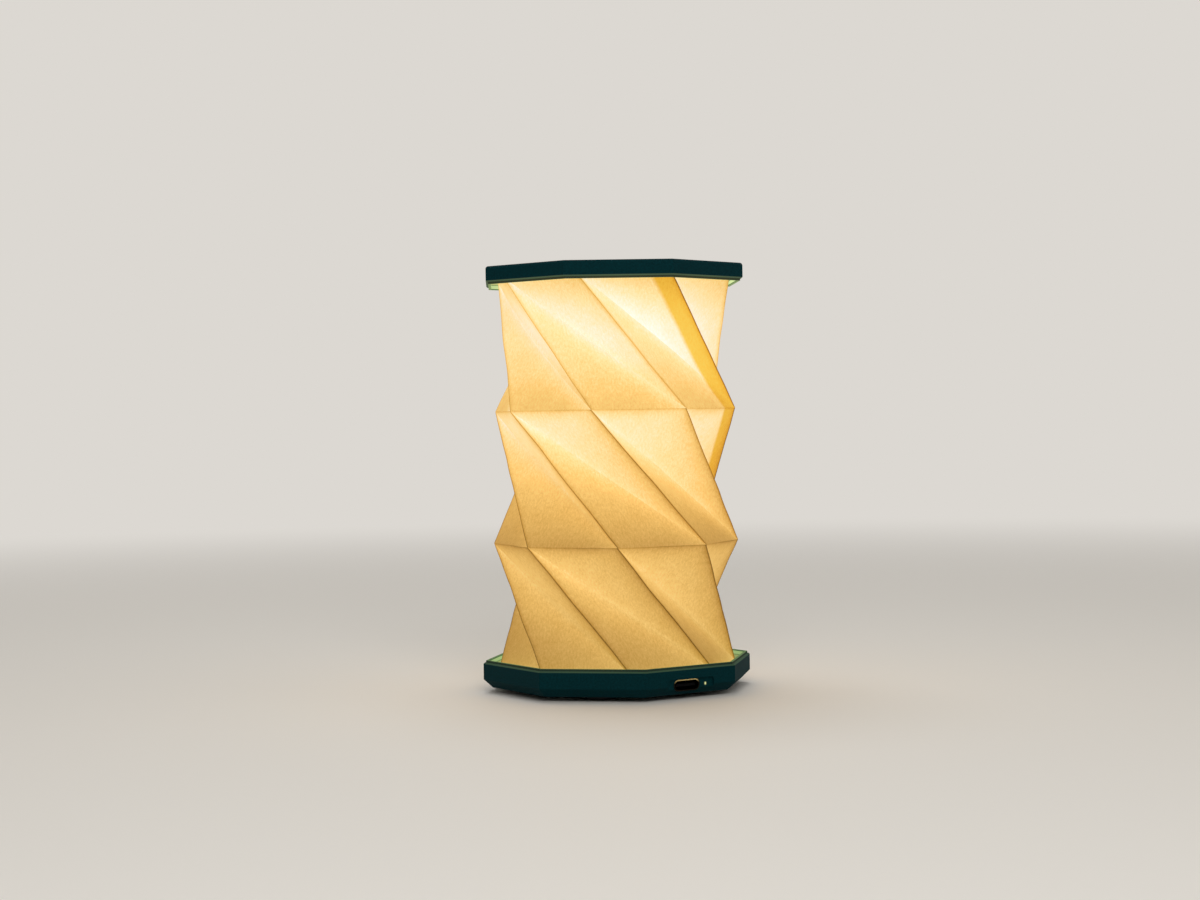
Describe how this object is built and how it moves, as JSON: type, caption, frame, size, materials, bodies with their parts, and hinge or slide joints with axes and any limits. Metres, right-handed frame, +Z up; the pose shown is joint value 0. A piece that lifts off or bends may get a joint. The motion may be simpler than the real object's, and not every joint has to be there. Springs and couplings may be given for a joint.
{
  "type": "folding table lamp",
  "caption": "Folding table lamp: a pleated, twisting paper sleeve between an octagonal base and cap. The cap screws down until the two housings meet.",
  "frame": {"origin": "on the table, on the lamp's axis, between the feet", "axes": "+Z up along the lamp's axis, -Y out of the charging port's face"},
  "size_m": [0.0804, 0.0804, 0.1254],
  "materials": {
    "housing_plastic": "moulded, fine matt texture",
    "paper": "translucent long-fibre paper, lit from inside",
    "adhesive_tape": "double-sided adhesive tape",
    "foot_rubber": "matt",
    "screw_steel": "zinc plated",
    "port_steel": "drawn sheet, bright",
    "magnet_nickel": "nickel plated",
    "board_laminate": "green solder mask",
    "aluminium_board": "white solder mask",
    "chip_resin": "moulded black resin",
    "ceramic_chip": "tan ceramic with tinned ends",
    "connector_nylon": "natural nylon",
    "black_nylon": "glass-filled nylon",
    "cell_foil": "laminated pouch foil",
    "wire_jacket": "soft silicone jacket",
    "led_lens": "phosphor lens",
    "opal_acrylic": "opal diffuser",
    "clear_acrylic": "clear light pin"
  },
  "bodies": {
    "base": {"base_tray": "housing_plastic", "bottom_cover": "housing_plastic", "rubber_feet": "foot_rubber", "bottom_screws": "screw_steel", "board_screws": "screw_steel", "keeper_plate": "screw_steel", "usb_c_shell": "port_steel", "usb_c_tongue": "black_nylon", "charge_light_pipe": "clear_acrylic", "charge_led": "led_lens", "main_board": "board_laminate", "charger_chip": "chip_resin", "led_driver_chip": "chip_resin", "power_inductor": "chip_resin", "hall_sensor": "chip_resin", "chip_capacitors": "ceramic_chip", "battery_cell": "cell_foil", "battery_tape": "adhesive_tape", "battery_leads": "wire_jacket", "battery_plug": "connector_nylon", "paper_shade": "paper", "shade_base_tape": "adhesive_tape", "lamp_lead": "wire_jacket", "base_strain_relief": "wire_jacket"},
    "cap_lift_carrier": {"cap_magnet": "magnet_nickel"},
    "cap": {"cap_shell": "housing_plastic", "cap_liner": "housing_plastic", "shade_cap_tape": "adhesive_tape", "led_board": "aluminium_board", "leds": "led_lens", "led_board_screws": "screw_steel", "led_diffuser": "opal_acrylic", "cap_strain_relief": "wire_jacket"}
  },
  "joints": [
    {"name": "cap_lift", "type": "slide", "parent": "base", "child": "cap_lift_carrier", "axis": [0, 0, 1], "range_m": [-0.1103, 0], "deforming": ["paper_shade", "lamp_lead"]},
    {"name": "cap_twist", "type": "hinge", "parent": "cap_lift_carrier", "child": "cap", "pos_m": [0, 0, 0.1224], "axis": [0, 0, 1], "range_deg": [-104.2, 0]}
  ],
  "couplings": [
    {"joint": "cap_twist", "follows": "cap_lift", "rad_per_m": 16.488}
  ]
}
